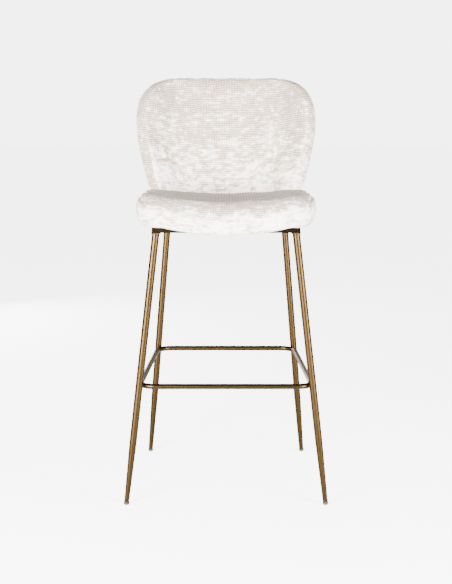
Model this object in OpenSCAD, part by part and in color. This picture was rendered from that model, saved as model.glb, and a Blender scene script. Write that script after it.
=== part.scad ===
// Bar stool with a wrapped back, four tapered tube legs and a welded footrest ring.
// Millimetres, the front faces -Y, the floor is z = 0, and the origin lies on the
// floor under the middle of the whole stool.

/* [Stance] */
// Half the depth between the front and the rear feet
foot_half_depth = 240; // [220:5:260]
// Half the width between the front feet
front_foot_x = 258; // [240:2:270]
// Half the width between the rear feet
rear_foot_x = 226; // [210:2:240]
// How far a front leg leans in across the stool, per mm of height
front_lean = 0.1157; // [0.09:0.0001:0.13]
// How far a rear leg leans in across the stool, per mm of height
rear_lean = 0.0842; // [0.06:0.0001:0.1]
// How far every leg leans in along the stool, per mm of height
depth_lean = 0.03; // [0.01:0.005:0.05]

/* [Legs and feet] */
// Outer diameter of a leg tube
leg_d = 19; // [16:0.5:22]
// Outer diameter of a leg at its foot
leg_tip_d = 13; // [11:0.5:15]
// Length of the taper above the foot
taper_l = 160; // [100:10:200]
// Wall of a leg tube
leg_wall = 1.5; // [1:0.1:2]
// Diameter of a foot cap
foot_d = 14.5; // [13:0.5:17]
// Height of a foot cap below the tube
foot_h = 8; // [6:1:10]

/* [Footrest] */
// Diameter of the footrest bar
ring_d = 14; // [12:0.5:16]
// Height of the front bar's centre
ring_front_z = 311; // [290:1:330]
// Height of the rear bar's centre
ring_rear_z = 316; // [290:1:335]

/* [Seat frame] */
// Height of the rails' lower face
rail_z = 705; // [680:5:720]
// Width of a rail
rail_w = 20; // [18:1:24]
// Height of a rail
rail_h = 12; // [10:1:14]
// Wall of a rail
rail_wall = 1.5; // [1:0.1:2]

/* [Seat cushion] */
// Half the width of the seat
seat_half_w = 230; // [220:2:240]
// How far the seat reaches forward of the middle of the feet
seat_front = 256; // [246:2:262]
// How far the seat reaches back, at its board
seat_back = 164; // [140:2:166]
// Height of the seat's top along its middle
seat_top_z = 775; // [765:1:785]
// Rise of the seat's sides over its middle
saddle = 27; // [5:1:30]
// How far the middle of the front roll hangs below the seat's underside
front_droop = 20; // [5:1:25]
// Thickness of the seat board
board_t = 15; // [12:1:18]

/* [Back cushion] */
// Lean of the back from upright, in degrees
recline = 12; // [8:0.5:16]
// Length of the back along its lean
back_l = 379.5; // [340:0.5:400]
// Half the width of the back along its curve
back_half_w = 274; // [250:2:285]
// Angle that each wing turns forward
wing_angle = 42; // [30:1:45]
// Thickness of the padding in front of the shell's middle
back_front_t = 38; // [30:1:42]
// Thickness of the padding behind the shell's middle
back_rear_t = 18; // [16:1:22]
// Thickness of the moulded plywood shell
shell_t = 10; // [8:1:12]
// Thickness of the covering fabric
fabric_t = 2; // [1:0.5:3]

/* [Hidden] */
$fn = 48;

bronze = [0.45, 0.35, 0.24];
black = [0.08, 0.08, 0.08];
steel = [0.62, 0.63, 0.65];
birch = [0.82, 0.70, 0.52];
foam = [0.93, 0.88, 0.70];
cream = [0.93, 0.91, 0.88];

leg_r = leg_d / 2;
ring_r = ring_d / 2;
foot_r = foot_d / 2;
far = 2000;

// The straps that carry the back, and the back's lowest mid point
back_z = rail_z + rail_h + 7;
strap_t = 5;
strap_w = 30;
strap_x = 50;
strap_top = 112;
rail_depth = foot_half_depth - depth_lean * rail_z;
strap_y = rail_depth - rail_w / 2 - strap_t;
back_y = strap_y - shell_t / 2 / cos(recline) + 2 * tan(recline);

// Everything is drawn about the middle of the feet, then moved to the middle of the stool.
module centred() translate([0, -middle_y, 0]) children();

module aim(p, v) translate(p) rotate([0, acos(v[2] / norm(v)), atan2(v[1], v[0])]) children();

// ---- Legs and feet: side is -1 for left and 1 for right, end is -1 for front and 1 for rear
function lean_of(end) = end < 0 ? front_lean : rear_lean;
function foot_x_of(end) = end < 0 ? front_foot_x : rear_foot_x;
function leg_at(side, end, z) =
  [side * (foot_x_of(end) - lean_of(end) * z), end * (foot_half_depth - depth_lean * z), z];
function leg_way(side, end) = leg_at(side, end, 1) - leg_at(side, end, 0);

module leg(side, end) {
  tip_r = leg_tip_d / 2;
  top = rail_z * 1.02;
  taper_top = foot_h + taper_l;
  color(bronze) centred() difference() {
    aim(leg_at(side, end, 0), leg_way(side, end)) rotate_extrude() polygon([
      [tip_r - leg_wall, foot_h], [tip_r, foot_h], [leg_r, taper_top],
      [leg_r, top], [leg_r - leg_wall, top], [leg_r - leg_wall, taper_top]
    ]);
    translate([-far / 2, -far / 2, rail_z]) cube([far, far, far]);
  }
}

// A cap's rounded sole is part of a ball, cut level where it meets the floor.
module foot(side, end) {
  plug_r = leg_tip_d / 2 - leg_wall;
  plug_h = 16;
  sole_r = foot_r + 0.75;
  color(black) centred() difference() {
    aim(leg_at(side, end, 0), leg_way(side, end)) {
      intersection() {
        translate([0, 0, -foot_h]) cylinder(r = foot_r, h = 2 * foot_h);
        translate([0, 0, 6.2]) sphere(r = sole_r);
      }
      translate([0, 0, foot_h - 1]) cylinder(r = plug_r, h = plug_h + 1);
    }
    translate([-far / 2, -far / 2, -far]) cube([far, far, far]);
  }
}

// ---- Footrest: one bar bent round inside the legs, each bend just meeting its leg
weld_gap = 0.4;
touch = leg_r + ring_r + weld_gap;
ring_front = leg_at(1, -1, ring_front_z);
ring_rear = leg_at(1, 1, ring_rear_z);
ring_span = norm([ring_rear[1] - ring_front[1], ring_rear_z - ring_front_z]);
ring_tilt = atan2(ring_rear_z - ring_front_z, ring_rear[1] - ring_front[1]);
ring_taper = atan2(ring_front[0] - ring_rear[0], ring_span);
// Half the angle between the bars at each corner, and the bend radius that fits it
function corner_half(end) = 45 + end * ring_taper / 2;
function bend_r(end) = touch / (1 / sin(corner_half(end)) - 1);
function bend_mid(end) = [
  (end < 0 ? ring_front[0] : ring_rear[0]) - bend_r(end) / tan(corner_half(end)),
  end * (ring_span / 2 - bend_r(end))
];

module ring_place() {
  centred() translate([0, (ring_front[1] + ring_rear[1]) / 2, (ring_front_z + ring_rear_z) / 2])
    rotate([ring_tilt, 0, 0]) children();
}

module bend(end, from, to)
  translate(bend_mid(end)) rotate([0, 0, from])
    rotate_extrude(angle = to - from) translate([bend_r(end), 0]) circle(r = ring_r);

module bar(p, q) aim([p[0], p[1], 0], [q[0] - p[0], q[1] - p[1], 0])
  cylinder(r = ring_r, h = norm(q - p));

module footrest_ring() {
  out = [cos(ring_taper), sin(ring_taper)];
  color(bronze) ring_place() {
    for (s = [0, 1]) mirror([s, 0, 0]) {
      bend(-1, -90, ring_taper);
      bend(1, ring_taper, 90);
      bar(bend_mid(-1) + bend_r(-1) * out, bend_mid(1) + bend_r(1) * out);
    }
    for (end = [-1, 1]) {
      reach = bend_mid(end)[0];
      bar([-reach, end * ring_span / 2], [reach, end * ring_span / 2]);
    }
  }
}

// A bead fills the valley between a leg and its bend, above and below where they meet.
module footrest_welds() {
  bead_r = 6;
  color(bronze) for (side = [-1, 1], end = [-1, 1]) {
    at = leg_at(side, end, end < 0 ? ring_front_z : ring_rear_z);
    inward = 45 + end * ring_taper / 2;
    centred_x = side * (leg_r + weld_gap / 2) * cos(inward);
    centred_y = -end * (leg_r + weld_gap / 2) * sin(inward);
    difference() {
      centred() translate(at + [-centred_x, centred_y, 0]) sphere(r = bead_r);
      centred() aim(leg_at(side, end, 0), leg_way(side, end)) cylinder(r = leg_r, h = rail_z);
      ring_place() mirror([side < 0 ? 1 : 0, 0, 0]) translate(bend_mid(end))
        rotate_extrude() translate([bend_r(end), 0]) circle(r = ring_r);
    }
  }
}

// ---- Seat frame: four rectangular tubes, mitred over the leg tops
rail_front_x = front_foot_x - front_lean * rail_z;
rail_rear_x = rear_foot_x - rear_lean * rail_z;
rail_slope = (rail_front_x - rail_rear_x) / (2 * rail_depth);
function rail_x(y) = (rail_front_x + rail_rear_x) / 2 - rail_slope * y;
// A corner of the frame's plan, grown outward by d from the line through the leg tops
function rail_corner(side, end, d) =
  let (y = end * (rail_depth + d)) [side * (rail_x(y) + d * sqrt(1 + rail_slope ^ 2)), y];

// The corner at a, moved on along the rail that comes from b, past the mitre
function rail_end(a, b, d, past) =
  let (p = rail_corner(a[0], a[1], d), q = rail_corner(b[0], b[1], d)) p + past * (p - q) / norm(p - q);

module rail_plan(a, b, out, in, past = 0)
  polygon([rail_end(a, b, out, past), rail_end(b, a, out, past),
    rail_end(b, a, in, past), rail_end(a, b, in, past)]);

seat_screw_y = [-140, 60];
screw_r = 3;
hole_r = 3.5;

module at_seat_screws(sides = [-1, 1])
  for (side = sides, y = seat_screw_y) centred() translate([side * rail_x(y), y, 0]) children();

module rail(a, b, sides = []) {
  half = rail_w / 2;
  color(bronze) difference() {
    centred() translate([0, 0, rail_z]) difference() {
      linear_extrude(rail_h) rail_plan(a, b, half, -half);
      translate([0, 0, rail_wall]) linear_extrude(rail_h - 2 * rail_wall)
        rail_plan(a, b, half - rail_wall, rail_wall - half, rail_w);
    }
    at_seat_screws(sides) translate([0, 0, rail_z - 1]) cylinder(r = hole_r, h = rail_h + 2);
  }
}

// A strap is welded to the rear rail's front face and leans with the back above it.
module back_strap(side) {
  bend_z = back_z - 2;
  lean = [sin(recline), cos(recline)];
  out = [cos(recline), -sin(recline)];
  start = [strap_y, bend_z];
  end = [back_y, back_z] + shell_t / 2 * out + strap_top * lean;
  color(bronze) difference() {
    centred() translate([side * strap_x - strap_w / 2, 0, 0]) rotate([90, 0, 90])
      linear_extrude(strap_w) polygon([
        [strap_y, rail_z], start, end, end + strap_t * out,
        start + [strap_t, -strap_t * tan(recline / 2)], [strap_y + strap_t, rail_z]
      ]);
    at_back_screws([side]) translate([0, 0, -20]) cylinder(r = hole_r, h = 18);
  }
}

// ---- Outlines of the cushions: rounded rectangles with soft corners, sampled in one order
// An outline is [half width, low end, high end, low corner, high corner], and a corner is
// [width, length, softness]: 2 is an ellipse, and more is squarer.
corner_steps = 6;
function spread(p, q, n) = [for (k = [1:n - 1]) p + (q - p) * k / n];
function soft(v, n) = sign(v) * abs(v) ^ (2 / n);
function corner(o, sx, sy, from, inset) =
  let (c = sy < 0 ? o[3] : o[4], w = c[0] - inset, l = c[1] - inset,
    x0 = o[0] - c[0], y0 = sy < 0 ? o[1] + c[1] : o[2] - c[1])
  [for (k = [0:corner_steps]) let (a = from + 90 * k / corner_steps)
    [sx * x0 + w * soft(cos(a), c[2]), y0 + l * soft(sin(a), c[2])]];
function outline(o, inset) =
  let (a = corner(o, 1, -1, -90, inset), b = corner(o, 1, 1, 0, inset),
    c = corner(o, -1, 1, 90, inset), d = corner(o, -1, -1, 180, inset), m = corner_steps)
  concat(a, spread(a[m], b[0], 3), b, spread(b[m], c[0], 4),
    c, spread(c[m], d[0], 3), d, spread(d[m], a[0], 6));

deep = 55;
seat_edge = [seat_half_w, -seat_front, seat_back, [80, 80, 2.2], [186, 148, 1.55]];
back_edge = [back_half_w, 0, back_l, [120, 85, 2.2], [184, 150, 2.6]];
seat_rim = outline(seat_edge, 0);
seat_in = outline(seat_edge, deep);
back_rim = outline(back_edge, 0);
back_in = outline(back_edge, deep);
// A point of an outline moved in by some mm, then drawn towards the middle by a scale
function inside_of(rim, inner, j, inset, scale, mid) =
  mid + (rim[j] + (inner[j] - rim[j]) * inset / deep - mid) * scale;

// ---- Closed skins from a grid of rings. Flat quads are cut along the same corner of the
// plan whichever way the rings run, so that neighbours meet face to face.
function wrap(k, n) = (k + n) % n;
function cell(p, q, r, s, flip) = flip ? [[p, q, r], [p, r, s]] : [[p, q, s], [q, r, s]];
module skin(rings, growing) {
  m = len(rings[0]);
  polyhedron(points = [for (r = rings) each r], faces = [
    for (i = [0:len(rings) - 2], j = [0:m - 1]) let (k = wrap(j + 1, m))
      each cell(i * m + j, i * m + k, (i + 1) * m + k, (i + 1) * m + j, growing[i])
  ]);
}

// A sheet between two grids, over the cells that keep(i, j) picks, closed along its edges
module sheet(outer, inner, growing, keep) {
  m = len(outer[0]);
  n = len(outer);
  o = function(i, j) i * m + wrap(j, m);
  u = function(i, j) n * m + i * m + wrap(j, m);
  has = function(i, j) i >= 0 && i < n - 1 && keep(i, wrap(j, m));
  wall = function(a, b, c, d) [[a, b, c], [a, c, d]];
  polyhedron(points = concat([for (r = outer) each r], [for (r = inner) each r]), faces = [
    for (i = [0:n - 2], j = [0:m - 1]) if (keep(i, j)) each concat(
      cell(o(i, j), o(i, j + 1), o(i + 1, j + 1), o(i + 1, j), growing[i]),
      [for (t = cell(u(i, j), u(i, j + 1), u(i + 1, j + 1), u(i + 1, j), growing[i]))
        [t[2], t[1], t[0]]],
      has(i + 1, j) ? [] : wall(o(i + 1, j), o(i + 1, j + 1), u(i + 1, j + 1), u(i + 1, j)),
      has(i - 1, j) || i == 0 ? [] : wall(o(i, j + 1), o(i, j), u(i, j), u(i, j + 1)),
      has(i, j + 1) ? [] : wall(o(i + 1, j + 1), o(i, j + 1), u(i, j + 1), u(i + 1, j + 1)),
      has(i, j - 1) ? [] : wall(o(i, j), o(i + 1, j), u(i + 1, j), u(i, j))
    )
  ]);
}

// ---- Seat cushion. A ring is [scale, deep inset, edge inset share, height share].
board_z = rail_z + rail_h + 1;
board_top = board_z + board_t;
under_z = board_z - 1;
seat_flat = [for (s = [0, 0.4, 0.75, 1]) [s, 1, 0, 1]];
seat_rings = concat(seat_flat,
  [for (a = [90, 65, 40, 20, 0, -25, -55, -90]) [1, 0, 1 - cos(a), sin(a)]]);
seat_mid = [0, -40];

// How much of the front roll a place has, and how far the underside lies inside the outline
function nose(p) = min(1, max(0, (-p[1] - 150) / 70));
function under_inset(p) = 36 - 14 * nose(p);
function seat_point(ring, j, inset) =
  let (rim = seat_rim[j], front = nose(rim), up = ring[3],
    edge = up < 0 ? under_inset(rim) - fabric_t : 20 + 30 * front,
    p = inside_of(seat_rim, seat_in, j, ring[1] * deep + (1 - ring[1]) * (ring[2] * edge + inset),
      ring[0], seat_mid),
    low = under_z + inset - front_droop * front * max(0, 1 - (rim[0] / 170) ^ 2),
    high = seat_top_z - inset + saddle * min(1, (p[0] / seat_half_w) ^ 2),
    waist = low + (high - low) * (0.68 - 0.28 * front),
    z = waist + up * (up < 0 ? waist - low : high - waist),
    lean = tan(recline) * max(0, z - board_top) * min(1, max(0, (p[1] - 50) / 60)))
  [p[0], p[1] + lean, z];
function seat_grid(inset) =
  [for (r = seat_rings) [for (j = [0:len(seat_rim) - 1]) seat_point(r, j, inset)]];
// The board's outline, drawn in by some mm more and towards the middle by a scale
function board_plan(scale, more) = [for (j = [0:len(seat_rim) - 1])
  inside_of(seat_rim, seat_in, j, under_inset(seat_rim[j]) + more, scale, seat_mid)];
seat_side = [for (j = [0:len(seat_rim) - 1])
  let (p = (seat_rim[j] + seat_rim[wrap(j + 1, len(seat_rim))]) / 2)
  abs(p[0]) > 200 && p[1] < 60 ? sign(p[0]) : 0];
seat_seam = 5;
function is_growing(rings) = [for (i = [0:len(rings) - 2])
  rings[i + 1][0] > rings[i][0] || rings[i + 1][1] < rings[i][1]];

module seat_foam() {
  top = seat_grid(fabric_t);
  recess = [for (s = [1, 0.75, 0.4, 0]) [for (p = board_plan(s, 0)) [p[0], p[1], board_top]]];
  color(foam) centred() skin(concat(top, recess),
    concat(is_growing(seat_rings), [true, false, false, false]));
}

module seat_panel(keep) color(cream) centred()
  sheet(seat_grid(0), seat_grid(fabric_t), is_growing(seat_rings), keep);
module seat_cover() seat_panel(function(i, j) i < seat_seam || seat_side[j] == 0);
module seat_side_cover(side) seat_panel(function(i, j) i >= seat_seam && seat_side[j] == side);

t_nut_r = 4;
flange_r = 9;
flange_t = 1.5;

module seat_board() color(birch) difference() {
  centred() translate([0, 0, board_z]) linear_extrude(board_t) polygon(board_plan(1, 0));
  at_seat_screws() {
    translate([0, 0, board_z - 1]) cylinder(r = t_nut_r, h = board_t + 2);
    translate([0, 0, board_top - flange_t]) cylinder(r = flange_r, h = flange_t + 1);
  }
}

module seat_dust_cover() color(black) difference() {
  centred() translate([0, 0, under_z]) linear_extrude(board_z - under_z)
    polygon(board_plan(1, 2));
  at_seat_screws() translate([0, 0, under_z - 1]) cylinder(r = t_nut_r, h = 3);
}

// ---- Fasteners: z runs along the screw, and 0 is the face that the washer or head meets
module screw(l) {
  head_r = 5.5;
  head_h = 3;
  color(steel) difference() {
    union() {
      translate([0, 0, -head_h]) cylinder(r = head_r, h = head_h);
      cylinder(r = screw_r, h = l);
    }
    translate([0, 0, -head_h - 1]) cylinder(r = 2, h = 3, $fn = 6);
  }
}

module t_nut(l) color(steel) difference() {
  union() {
    cylinder(r = flange_r, h = flange_t);
    translate([0, 0, flange_t - l]) cylinder(r = t_nut_r, h = l);
  }
  translate([0, 0, -l]) cylinder(r = screw_r + 0.05, h = 2 * l);
}

washer_t = 1.5;
module seat_screws() at_seat_screws() translate([0, 0, rail_z - washer_t]) screw(28);
module seat_washers() color(steel) at_seat_screws() translate([0, 0, rail_z - washer_t])
  difference() {
    cylinder(r = 8, h = washer_t);
    translate([0, 0, -1]) cylinder(r = screw_r + 0.3, h = washer_t + 2);
  }
module seat_t_nuts() at_seat_screws() translate([0, 0, board_top - flange_t]) t_nut(12);
module back_screws() at_back_screws() translate([0, 0, -half_shell - strap_t])
  screw(half_shell + strap_t + 3);
module back_t_nuts() at_back_screws() translate([0, 0, half_shell - flange_t]) t_nut(8);

// ---- Back cushion: flat plans are [along the curve, up the lean], and height is forward
bend_start = 70;
bend_r_mid = 198;
wing_start = bend_start + bend_r_mid * wing_angle * PI / 180;
narrowing = 0.00102;
widest = back_l - 150;
// How the back narrows below its widest place, as a share of its full width
function narrow(t) = let (d = max(0, widest - t)) 1 - narrowing * (sqrt(d ^ 2 + 1600) - 40);
// The plan curve: flat, then an arc, then a straight wing; a height stands square to it
function wrapped(a, h) =
  let (s = sign(a), d = abs(a),
    turn = min(wing_angle, max(0, (d - bend_start) / bend_r_mid * 180 / PI)),
    past = max(0, d - wing_start),
    x = min(d, bend_start) + bend_r_mid * sin(turn) + past * cos(turn) - h * sin(turn),
    w = bend_r_mid * (1 - cos(turn)) + past * sin(turn) + h * cos(turn))
  [s * x, w];
// A point of the back in the stool's frame, from its place along, up and forward
function back_place(a, t, h) = let (p = wrapped(a, h)) [
  p[0] * narrow(t),
  back_y + t * sin(recline) - p[1] * cos(recline),
  back_z + t * cos(recline) + p[1] * sin(recline)
];
// A ring is [scale, inset, height]; the covering takes its thickness off the outside.
back_front = [[0, deep, 1], [0.4, deep, 1], [0.75, deep, 0.985], [1, deep, 0.97],
  [1, 30, 0.94], [1, 12, 0.88], [1, 5, 0.78], [1, 0, 0.6], [1, 0, 0.1]];
back_behind = [[1, 0, 0.3125], [1, 0, 0.55], [1, 4, 0.86], [1, 12, 0.97],
  [1, deep, 1], [0.75, deep, 1], [0.4, deep, 1], [0, deep, 1]];
back_mid = [0, 190];
front_seam = 6;
rear_seam = 11;

// The stool reaches furthest back near the top of the back, and its middle follows from that.
rear_reach = back_y + max([for (r = back_behind)
  (back_l - r[1]) * sin(recline) + r[2] * back_rear_t * cos(recline)]);
middle_y = (rear_reach - seat_front) / 2;

function back_ring(r, inset, h) = [for (j = [0:len(back_rim) - 1])
  let (p = inside_of(back_rim, back_in, j, r[1] == deep ? deep : r[1] + inset, r[0], back_mid))
  back_place(p[0], p[1], h)];
function front_grid(inset) =
  [for (r = back_front) back_ring(r, inset, r[2] * (back_front_t - inset))];
function rear_grid(inset) =
  [for (r = back_behind) back_ring(r, inset, -r[2] * (back_rear_t - inset))];
shell_inset = 12;
shell_face = [[0, deep], [0.4, deep], [0.75, deep], [1, deep], [1, shell_inset]];
function face_grid(h) = [for (r = shell_face) back_ring(r, 0, h)];
function reversed(v) = [for (i = [len(v) - 1:-1:0]) v[i]];
rim_ring = [1, fabric_t];
back_rings = concat(back_front, back_behind);
back_growing = [for (i = [0:len(back_rings) - 2])
  back_rings[i + 1][0] > back_rings[i][0] || back_rings[i + 1][1] < back_rings[i][1]];
growing_face = [for (r = shell_face) true];
shrinking_face = [for (r = shell_face) false];

back_screw_t = [48, 92];
module at_back_screws(sides = [-1, 1]) for (side = sides, t = back_screw_t) centred()
  translate([side * strap_x, back_y, back_z]) rotate([-recline, 0, 0])
    translate([0, 0, t]) rotate([90, 0, 0]) children();

half_shell = shell_t / 2;
module back_shell() color(birch) difference() {
  centred() skin(concat(face_grid(half_shell), reversed(face_grid(-half_shell))),
    concat(growing_face, shrinking_face));
  at_back_screws() {
    translate([0, 0, -shell_t]) cylinder(r = t_nut_r, h = 2 * shell_t);
    translate([0, 0, half_shell - flange_t]) cylinder(r = flange_r, h = 6);
  }
}

module back_foam() color(foam) centred() skin(
  concat(front_grid(fabric_t), [back_ring(rim_ring, 0, -half_shell)],
    [back_ring([1, shell_inset], 0, -half_shell)], reversed(face_grid(half_shell))),
  concat([for (i = [0:len(back_front) - 2]) back_growing[i]], [false, false, false],
    shrinking_face));

// The lining behind the shell leaves a pocket for each strap and its screw heads.
pocket_h = 8.5;
module strap_pocket(grow)
  for (side = [-1, 1]) centred() translate([side * strap_x, back_y, back_z])
    rotate([-recline, 0, 0]) translate([-strap_w / 2 - grow, half_shell, -10])
      cube([strap_w + 2 * grow, pocket_h, strap_top + 12]);

module back_lining() color(foam) difference() {
  centred() skin(
    concat(face_grid(-half_shell), [back_ring(rim_ring, 0, -half_shell)], rear_grid(fabric_t)),
    concat(growing_face, [false], [for (i = [0:len(back_behind) - 2]) false]));
  strap_pocket(0);
}

module back_panel(keep) color(cream) centred() sheet(
  concat(front_grid(0), rear_grid(0)), concat(front_grid(fabric_t), rear_grid(fabric_t)),
  back_growing, keep);
module back_front_panel() back_panel(function(i, j) i < front_seam);
module back_rear_panel() back_panel(function(i, j) i >= rear_seam);
module back_band() difference() {
  back_panel(function(i, j) i >= front_seam && i < rear_seam);
  strap_pocket(1);
}

leg(-1, -1);  // leg_front_left
leg(1, -1);  // leg_front_right
leg(-1, 1);  // leg_rear_left
leg(1, 1);  // leg_rear_right
foot(-1, -1);  // foot_front_left
foot(1, -1);  // foot_front_right
foot(-1, 1);  // foot_rear_left
foot(1, 1);  // foot_rear_right
footrest_ring();
footrest_welds();
rail([-1, -1], [1, -1]);  // rail_front
rail([-1, 1], [1, 1]);  // rail_rear
rail([-1, -1], [-1, 1], [-1]);  // rail_left
rail([1, -1], [1, 1], [1]);  // rail_right
back_strap(-1);  // back_strap_left
back_strap(1);  // back_strap_right
seat_screws();
seat_washers();
seat_t_nuts();
back_screws();
back_t_nuts();
seat_board();
seat_foam();
seat_cover();
seat_side_cover(-1);  // seat_side_left
seat_side_cover(1);  // seat_side_right
seat_dust_cover();
back_shell();
back_foam();
back_lining();
back_front_panel();
back_band();
back_rear_panel();
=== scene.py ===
# %% [markdown]
# # A bar stool in cream chenille and antique bronze
# The frame of this stool is already exact: legs, footrest and seat frame come from the CAD
# model and are only given a finish here. The cushions are the part that Blender is for. Each
# is one closed skin of cloth over foam: a grid of points is worked out with numpy, swollen as
# cloth with air inside, and then pulled in along its seams.

# %% Load the frame
import math

import bpy
import numpy as np
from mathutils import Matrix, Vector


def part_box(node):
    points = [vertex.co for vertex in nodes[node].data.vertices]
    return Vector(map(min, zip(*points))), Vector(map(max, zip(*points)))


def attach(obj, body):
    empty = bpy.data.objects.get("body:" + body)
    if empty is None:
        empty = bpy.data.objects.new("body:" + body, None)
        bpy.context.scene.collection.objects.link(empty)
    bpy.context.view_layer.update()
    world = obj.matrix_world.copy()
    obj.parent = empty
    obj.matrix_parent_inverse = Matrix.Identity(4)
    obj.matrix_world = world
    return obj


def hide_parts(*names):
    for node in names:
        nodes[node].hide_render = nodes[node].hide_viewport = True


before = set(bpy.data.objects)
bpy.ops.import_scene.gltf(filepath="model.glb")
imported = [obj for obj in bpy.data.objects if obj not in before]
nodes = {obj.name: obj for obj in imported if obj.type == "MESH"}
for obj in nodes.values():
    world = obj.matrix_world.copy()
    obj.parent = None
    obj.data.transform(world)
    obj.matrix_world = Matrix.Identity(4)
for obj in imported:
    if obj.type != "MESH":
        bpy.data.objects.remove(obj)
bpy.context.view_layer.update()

# %% [markdown]
# ## Where things are
# Every place comes from the frame. The back leans on two straps, so its lowest middle point
# follows from the straps' front face, and the seat's outline follows from its CAD solid.

# %% Places taken from the frame
recline = math.radians(12)
shell_thickness = 0.010
rail_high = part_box("rail_front")[1].z
strap_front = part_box("back_strap_left")[0].y
back_low_y = strap_front - shell_thickness / 2 / math.cos(recline) + 0.002 * math.tan(recline)
back_low_z = rail_high + 0.007
print("back starts at", round(back_low_y, 4), round(back_low_z, 4))

# %% [markdown]
# ## Camera, light and floor
# A long lens stands three metres in front and one metre up, and looks slightly down. Two soft
# boxes light the stool from the front, the left one stronger, and a weak one behind lights its
# edges. None stands higher than the back, so little light falls on the seat from above.

# %% Camera
camera_height = 1.0093
camera_distance = 3.1292
camera_pitch = math.radians(8.9)
feet_middle_y = (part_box("foot_front_left")[0].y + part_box("foot_rear_left")[1].y) / 2

lens = bpy.data.cameras.new("camera")
lens.lens = 71.68
lens.sensor_width = 36
camera = bpy.data.objects.new("camera", lens)
camera.location = (0, feet_middle_y - camera_distance, camera_height)
camera.rotation_euler = (math.pi / 2 - camera_pitch, 0, 0)
bpy.context.scene.collection.objects.link(camera)
bpy.context.scene.camera = camera
print("camera", [round(value, 3) for value in camera.location], "lens", round(lens.lens, 1), "mm")


# %% Lights
def softbox(name, place, target, wide, tall, power):
    """A rectangular area lamp at a place, turned to face a target point."""
    lamp = bpy.data.lights.new(name, "AREA")
    lamp.shape = "RECTANGLE"
    lamp.energy = power
    lamp.size, lamp.size_y = wide, tall
    box = bpy.data.objects.new(name, lamp)
    box.location = place
    way = np.subtract(target, place)
    box.rotation_euler = (math.acos(-way[2] / np.linalg.norm(way)), 0,
                          math.atan2(way[1], way[0]) - math.pi / 2)
    bpy.context.scene.collection.objects.link(box)
    return box


for box in (softbox("left_light", (-1.9, -2.9, 0.92), (0, 0, 0.75), wide=1.3, tall=1.0, power=720),
            softbox("right_light", (2.4, -2.4, 0.92), (0, 0, 0.75), wide=0.9, tall=1.0, power=470),
            softbox("rear_light", (-1.6, 2.6, 1.0), (0, 0, 0.7), wide=1.4, tall=1.4, power=110)):
    print(box.name, box.data.energy, "W")

# %% [markdown]
# ### A white backdrop that doesn't wash the metal out
# Bronze shows what is round it. In a room as bright as the backdrop it would mirror white from
# every side and lose its colour, so a studio keeps the room dim and lights the backdrop alone.
# Light Path does that here: what the lens sees of the room is white, and what lights the stool
# is a dim room, paler at its walls than overhead.

# %% A dim room, seen as white
backdrop = 5.5
world = bpy.data.worlds.new("white_room")
bpy.context.scene.world = world
world.use_nodes = True
tree = world.node_tree
room = tree.nodes["Background"]
where = tree.nodes.new("ShaderNodeTexCoord")
split = tree.nodes.new("ShaderNodeSeparateXYZ")
ramp = tree.nodes.new("ShaderNodeValToRGB")
ramp.color_ramp.elements[0].position = 0.10
ramp.color_ramp.elements[0].color = (1, 0.99, 0.98, 1)
ramp.color_ramp.elements[1].position = 0.60
ramp.color_ramp.elements[1].color = (0.14, 0.137, 0.134, 1)
room.inputs["Strength"].default_value = 1.1
seen = tree.nodes.new("ShaderNodeBackground")
seen.inputs["Color"].default_value = (1, 1, 1, 1)
seen.inputs["Strength"].default_value = backdrop
path_of_light = tree.nodes.new("ShaderNodeLightPath")
either = tree.nodes.new("ShaderNodeMixShader")
tree.links.new(where.outputs["Generated"], split.inputs[0])
tree.links.new(split.outputs["Z"], ramp.inputs[0])
tree.links.new(ramp.outputs[0], room.inputs["Color"])
tree.links.new(path_of_light.outputs["Is Camera Ray"], either.inputs[0])
tree.links.new(room.outputs[0], either.inputs[1])
tree.links.new(seen.outputs[0], either.inputs[2])
tree.links.new(either.outputs[0], tree.nodes["World Output"].inputs["Surface"])
print("the lens sees a room of strength", backdrop, "and the stool one of",
      round(room.inputs["Strength"].default_value, 2))


# %% [markdown]
# ## Materials
# A finish is a small tree of nodes. Each reads the object's own coordinates in metres, or the
# cloth's own map, so a pattern has its real size and stays on its piece. What is the same all
# over a surface, such as sheen, is set straight on the shader.

# %% Helpers for building a finish
def finish(name, **sockets):
    """A new material, with the given values set straight on its Principled shader."""
    material = bpy.data.materials.new(name)
    material.use_nodes = True
    shader = material.node_tree.nodes["Principled BSDF"]
    for socket, value in sockets.items():
        shader.inputs[socket.replace("_", " ")].default_value = value
    return material


def add(material, kind, **inputs):
    """A node of a kind. A plain value is set, and a socket is linked. An input goes by its
    name, or by its number, as in i0."""
    tree = material.node_tree
    node = tree.nodes.new("ShaderNode" + kind)
    for name, value in inputs.items():
        socket = node.inputs[int(name[1:])] if name[0] == "i" and name[1:].isdigit() else \
            node.inputs[name.replace("_", " ")]
        if isinstance(value, bpy.types.NodeSocket):
            tree.links.new(value, socket)
        else:
            socket.default_value = value
    return node


def place(material, stretch=(1, 1, 1), cloth_map=False):
    """Where a point is on its piece, stretched along each axis: object or cloth-map metres."""
    if cloth_map:
        node = add(material, "UVMap")
        node.uv_map = "weave"
        source = node.outputs["UV"]
    else:
        source = add(material, "TexCoord").outputs["Object"]
    return add(material, "Mapping", Vector=source, Scale=stretch).outputs[0]


def noise(material, vector, scale, detail=2.0, roughness=0.5):
    """Soft random values from 0 to 1, with features 1/scale metres wide."""
    return add(material, "TexNoise", Vector=vector, Scale=scale, Detail=detail,
               Roughness=roughness).outputs[0]


def maths(material, operation, a, b=0.0, c=0.0):
    """One sum on values or sockets."""
    node = add(material, "Math", i0=a, i1=b, i2=c)
    node.operation = operation
    return node.outputs[0]


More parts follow.
